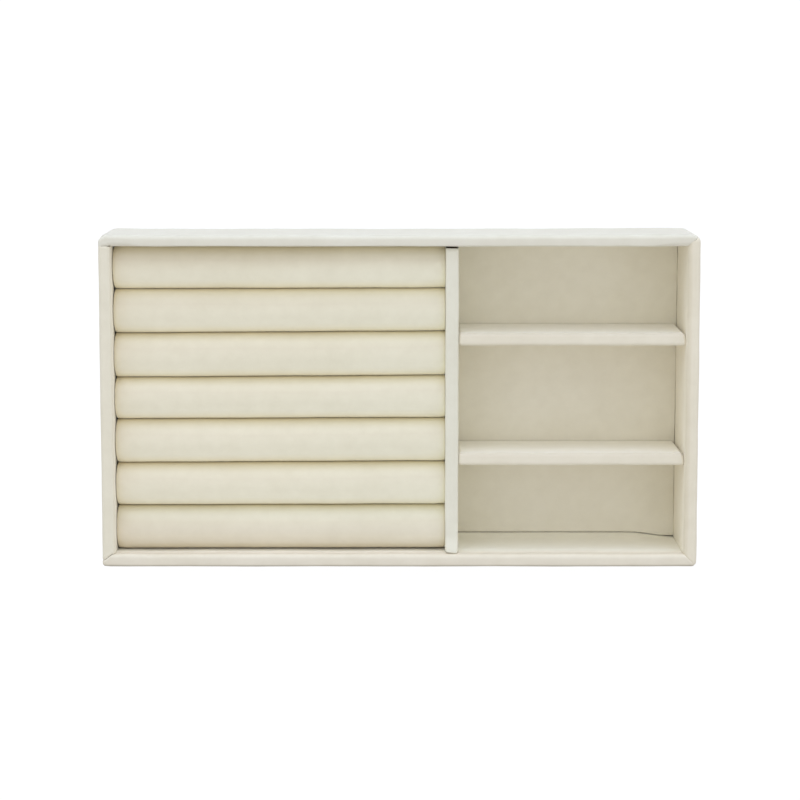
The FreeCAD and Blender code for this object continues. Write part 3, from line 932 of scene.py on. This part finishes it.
def roll_mesh(low, high):
    """A closed roll along X: rings down its length, drawn in to a flat face at each end."""
    half_width = (high[1] - low[1]) / 2 - SIDE_MARGIN
    centre = (high[1] + low[1]) / 2
    crown = high[2] - CROWN_MARGIN
    foot = low[2]
    left, right = low[0] - LEFT_END.press, high[0] + RIGHT_END.press
    left_end = [(left + away, inset) for away, inset in roll_end(LEFT_END)]
    right_end = [(right - away, inset) for away, inset in reversed(roll_end(RIGHT_END))]
    count = round((right - left) / ROLL_STEP)
    middle = np.linspace(left + LEFT_END.length, right - RIGHT_END.length, count)
    stations = left_end + [(x, 0) for x in middle[1:-1]] + right_end
    rings = []
    for x, inset in stations:
        ring = roll_section(half_width, foot, crown, inset, END_SIDE_SHARE * inset)
        rings.append(np.column_stack([np.full(len(ring), x), ring[:, 0] + centre, ring[:, 1]]))
    around = len(rings[0])
    points = np.concatenate(rings)
    faces = []
    for ring in range(len(rings) - 1):
        for step in range(around):
            follow = (step + 1) % around
            this, next_one = ring * around, (ring + 1) * around
            faces.append((this + step, this + follow, next_one + follow, next_one + step))
    faces.append(tuple(range(around)))
    faces.append(tuple(range(len(points) - around, len(points))))
    return points, faces


def coordinates(mesh):
    """The places of a mesh's points, as an array."""
    places = np.empty(len(mesh.vertices) * 3)
    mesh.vertices.foreach_get("co", places)
    return places.reshape(-1, 3)


def swell(piece, held):
    """Fills a roll with foam: a cloth simulation with pressure, on its mesh at an enlarged size.

    Gives the swollen points. They only move outwards and upwards, by no more than the cap.
    """
    start = coordinates(piece.data)
    piece.data.vertices.foreach_set("co", (start * SIMULATION_SCALE).ravel())
    group = piece.vertex_groups.new(name="held")
    group.add([int(number) for number in np.flatnonzero(held)], 1.0, "REPLACE")
    cloth = piece.modifiers.new("swell", "CLOTH")
    for setting, value in SWELL_SETTINGS.items():
        setattr(cloth.settings, setting, value)
    cloth.settings.effector_weights.gravity = 0
    cloth.settings.vertex_group_mass = group.name
    cloth.collision_settings.use_collision = False
    for number in range(1, SWELL_FRAMES + 1):
        scene.frame_set(number)
    result = piece.evaluated_get(bpy.context.evaluated_depsgraph_get())
    swollen = coordinates(result.data) / SIMULATION_SCALE
    piece.modifiers.remove(cloth)
    piece.vertex_groups.remove(group)
    scene.frame_set(1)
    move = swollen - start
    move[:, 0] = 0
    outwards = np.sign(start[:, 1] - start[:, 1].mean())
    move[:, 1] = np.maximum(move[:, 1] * outwards, 0) * outwards
    move[:, 2] = np.maximum(move[:, 2], 0)
    length = np.linalg.norm(move, axis=1, keepdims=True)
    move *= np.minimum(1, SWELL_CAP / np.maximum(length, TINY))
    return start + move


def valley_shift(number, along):
    """How far the valley in front of a roll lies behind an even spacing: none at the two end walls."""
    if number in (0, ROLL_COUNT):
        return 0
    left_shift, right_shift = VALLEY_ENDS[number - 1]
    share = (along - along.min()) / (along.max() - along.min())
    waver = VALLEY_WAVER * wander(along, VALLEY_WAVE, f"valley {number}")
    return MM * between(left_shift, right_shift, share) + waver


def make_roll(number):
    """One ring roll, pressed against its neighbours along valleys that waver a little."""
    low, high = node_box(f"ring_roll_cover_{number}")
    points, faces = roll_mesh(low, high)
    nodes = [f"ring_roll_cover_{number}", f"ring_roll_foam_{number}"]
    material = front_roll_shaded_velvet if number == ROLL_COUNT else roll_velvet
    piece = make_piece(f"ring_roll_{number}", points, faces, material, nodes)
    centre = (low[1] + high[1]) / 2
    upper_start = high[2] - UPPER_DEPTH
    held = points[:, 2] < upper_start - HELD_DEPTH
    points = swell(piece, held)
    limit = roll_pitch / 2 - ROLL_CLEARANCE
    to_right = ease(points[:, 0], low[0], high[0])
    front_limit = limit - (FRONT_GAP + FRONT_GAP_GROWTH * to_right) * (number == ROLL_COUNT)
    points[:, 1] = centre + np.clip(ROLL_SQUEEZE * (points[:, 1] - centre), -front_limit, limit)
    points[:, 2] = np.maximum(points[:, 2], low[2])
    share = (points[:, 1] - centre) / limit
    left, right = points[:, 0].min(), points[:, 0].max()
    at_left = 1 - ease(points[:, 0], left, left + END_DRAW_LENGTH)
    at_right = ease(points[:, 0], right - END_DRAW_LENGTH, right)
    draw_in = at_left * LEFT_END.draw - at_right * RIGHT_END.draw
    points[:, 0] += np.abs(share) ** END_DRAW_POWER * draw_in
    behind = valley_shift(number - 1, points[:, 0])
    in_front = valley_shift(number, points[:, 0])
    points[:, 1] += behind * (1 + share) / 2 + in_front * (1 - share) / 2
    raised = ease(points[:, 2], upper_start, high[2])
    points[:, 2] += raised * CROWN_WAVER * wander(points[:, 0], CROWN_WAVE, f"crown {number}")
    piece.data.vertices.foreach_set("co", points.ravel())
    piece.data.update()
    finer = piece.modifiers.new("finer", "SUBSURF")
    finer.levels = 1
    finer.render_levels = 1


for roll_number in range(1, ROLL_COUNT + 1):
    make_roll(roll_number)

# Boards and cards inside the velvet keep their CAD shape

CARDS = ("floor_card", "ring_bed_card")
for node_name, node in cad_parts.items():
    node.data.materials.clear()
    node.data.materials.append(card if node_name in CARDS else greyboard)

# Floor, light and camera

# The floor: half its side and its drop below the tray; the grey it lights the tray with; and, as the camera
# sees it, the grey that takes the shadow and the glow that makes it white
FLOOR_HALF = 3.0
FLOOR_DROP = 0.05 * MM
FLOOR_BOUNCE = (0.5, 0.5, 0.5, 1)
FLOOR_SHADOW_GREY = (0.16, 0.16, 0.16, 1)
FLOOR_GLOW = 0.9
# Light from all round: its strength, and its colour from the front of the tray (-1) to its back (1)
SKY_STRENGTH = 0.735
SKY = (
    (-1.0, (0.3, 0.3, 0.3)),
    (-0.93, (0.4, 0.4, 0.4)),
    (-0.8, (1.12, 1.11, 1.13)),
    (-0.4, (1.12, 1.11, 1.13)),
    (0.0, (0.96, 0.955, 0.97)),
    (0.6, (1.16, 1.17, 1.21)),
    (0.85, (1.4, 1.45, 1.54)),
    (0.93, (3.8, 4.2, 5.0)),
    (1.0, (6.0, 6.7, 8.0)),
)
CAMERA_PLACE = (0.4 * MM, 134.6 * MM, 993.9 * MM)
CAMERA_TILT = math.radians(8)
FOCAL_PIXELS = 2400
IMAGE_PIXELS = 800
SENSOR_WIDTH = 36


def make_floor():
    """A white floor: plain white to the camera, with the tray's faint shadow kept."""
    low, high = -FLOOR_HALF, FLOOR_HALF
    mesh = bpy.data.meshes.new("floor")
    mesh.from_pydata([(low, low, 0), (high, low, 0), (high, high, 0), (low, high, 0)], [], [(0, 1, 2, 3)])
    floor = bpy.data.objects.new("floor", mesh)
    floor.location.z = tray_low[2] - FLOOR_DROP
    scene.collection.objects.link(floor)
    material, tree, shader = new_material("floor")
    shader.inputs["Base Color"].default_value = FLOOR_BOUNCE
    shader.inputs["Roughness"].default_value = 1
    shader.inputs["Specular IOR Level"].default_value = 0
    seen = tree.nodes.new("ShaderNodeBsdfDiffuse")
    seen.inputs["Color"].default_value = FLOOR_SHADOW_GREY
    glow = tree.nodes.new("ShaderNodeEmission")
    glow.inputs["Color"].default_value = (*WHITE, 1)
    glow.inputs["Strength"].default_value = FLOOR_GLOW
    both = tree.nodes.new("ShaderNodeAddShader")
    choose = tree.nodes.new("ShaderNodeMixShader")
    tree.links.new(seen.outputs["BSDF"], both.inputs[0])
    tree.links.new(glow.outputs["Emission"], both.inputs[1])
    tree.links.new(is_seen(tree), choose.inputs["Fac"])
    tree.links.new(shader.outputs["BSDF"], choose.inputs[1])
    tree.links.new(both.outputs["Shader"], choose.inputs[2])
    output = tree.nodes["Material Output"]
    tree.links.new(choose.outputs["Shader"], output.inputs["Surface"])
    mesh.materials.append(material)


def is_seen(tree):
    """1 for rays that show the background: from the camera, a reflection or through glass."""
    path = tree.nodes.new("ShaderNodeLightPath")
    most = path.outputs["Is Camera Ray"]
    for other in ("Is Glossy Ray", "Is Transmission Ray"):
        larger = tree.nodes.new("ShaderNodeMath")
        larger.operation = "MAXIMUM"
        tree.links.new(most, larger.inputs[0])
        tree.links.new(path.outputs[other], larger.inputs[1])
        most = larger.outputs["Value"]
    return most


def make_world():
    """Soft light all round, and plain white behind the tray."""
    world = bpy.data.worlds.new("studio")
    world.use_nodes = True
    tree = world.node_tree
    place = tree.nodes.new("ShaderNodeTexCoord")
    parts = tree.nodes.new("ShaderNodeSeparateXYZ")
    tree.links.new(place.outputs["Generated"], parts.inputs["Vector"])
    colour = add_stops(tree, parts.outputs["Y"], SKY)
    light = tree.nodes["Background"]
    light.inputs["Strength"].default_value = SKY_STRENGTH
    tree.links.new(colour, light.inputs["Color"])
    white = tree.nodes.new("ShaderNodeBackground")
    white.inputs["Color"].default_value = (*WHITE, 1)
    white.inputs["Strength"].default_value = 1
    choose = tree.nodes.new("ShaderNodeMixShader")
    tree.links.new(is_seen(tree), choose.inputs["Fac"])
    tree.links.new(light.outputs["Background"], choose.inputs[1])
    tree.links.new(white.outputs["Background"], choose.inputs[2])
    tree.links.new(choose.outputs["Shader"], tree.nodes["World Output"].inputs["Surface"])
    scene.world = world


def add_lamp(name, place, size, power, colour):
    """A square soft light that looks at the middle of the tray."""
    data = bpy.data.lights.new(name, "AREA")
    data.shape = "SQUARE"
    data.size = size
    data.energy = power
    data.color = colour
    lamp = bpy.data.objects.new(name, data)
    lamp.location = place
    aim = Vector((0, 0, tray_high[2] / 2)) - Vector(place)
    lamp.rotation_euler = aim.to_track_quat("-Z", "Y").to_euler()
    scene.collection.objects.link(lamp)


def make_camera():
    """The photograph's view: down into the tray from behind its back wall, tipped towards the front."""
    data = bpy.data.cameras.new("camera")
    data.sensor_width = SENSOR_WIDTH
    data.lens = FOCAL_PIXELS / IMAGE_PIXELS * SENSOR_WIDTH
    camera = bpy.data.objects.new("camera", data)
    camera.location = CAMERA_PLACE
    camera.rotation_euler = (-CAMERA_TILT, 0, 0)
    scene.collection.objects.link(camera)
    scene.camera = camera


make_floor()
make_world()
add_lamp("key", place=(-0.15, 1.0, 0.95), size=1.0, power=1.4, colour=(0.93, 0.98, 1.0))
make_camera()
scene.view_settings.view_transform = "Standard"
